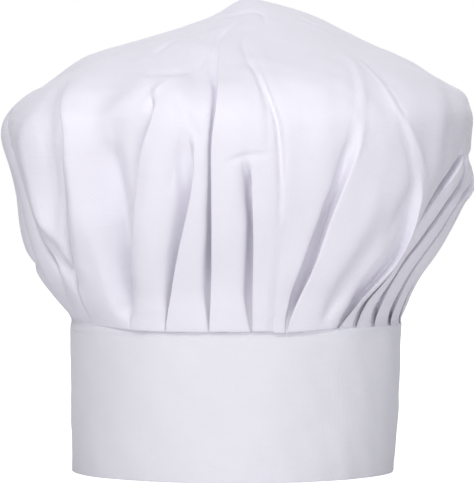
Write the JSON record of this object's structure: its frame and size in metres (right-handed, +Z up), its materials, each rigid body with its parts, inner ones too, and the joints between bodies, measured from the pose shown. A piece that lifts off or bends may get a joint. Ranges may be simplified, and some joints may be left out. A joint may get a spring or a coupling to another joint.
{
  "type": "chef toque",
  "caption": "White cloth chef hat: a tall knife-pleated, puffed crown gathered into a stiffened headband that closes at the back with hook-and-loop tape.",
  "frame": {"origin": "centre of the head opening, in the plane of the band's bottom edge", "axes": "+Z up through the crown, -Y the front of the hat, +Y the back where the band overlaps and closes, +X the side on the right as seen from the front"},
  "size_m": [0.2712, 0.2712, 0.271],
  "materials": {
    "crown_cloth": "soft white cotton-blend poplin",
    "band_cloth": "pressed white cotton-blend poplin",
    "lining_cloth": "plain white poplin",
    "interfacing": "matt non-woven",
    "thread": "white polyester thread",
    "loop_pile": "brushed loop pile",
    "hook_tape": "woven nylon with moulded hooks",
    "label_ribbon": "satin ribbon, blank"
  },
  "bodies": {
    "band": {"band_outer_ply": "band_cloth", "band_lining": "lining_cloth", "band_interfacing": "interfacing", "crown": "crown_cloth", "crown_seam_stitching": "thread", "loop_tape": "loop_pile", "loop_tape_stitching": "thread", "care_label_sewn_edge": "label_ribbon", "care_label_stitching": "thread"},
    "closure_tab": {"tab_outer_ply": "band_cloth", "tab_lining": "lining_cloth", "tab_interfacing": "interfacing", "tab_edge_stitching": "thread", "hook_tape": "hook_tape", "hook_tape_stitching": "thread"},
    "care_label": {"care_label_flap": "label_ribbon"}
  },
  "joints": [
    {"name": "closure_peel", "type": "hinge", "parent": "band", "child": "closure_tab", "pos_m": [0.02988, 0.09297, 0.0425], "axis": [0, 0, -1], "range_deg": [0, 100]},
    {"name": "label_lift", "type": "hinge", "parent": "band", "child": "care_label", "pos_m": [-0.06589, 0.06589, 0.075], "axis": [-0.7071, -0.7071, 0], "range_deg": [0, 110]}
  ]
}
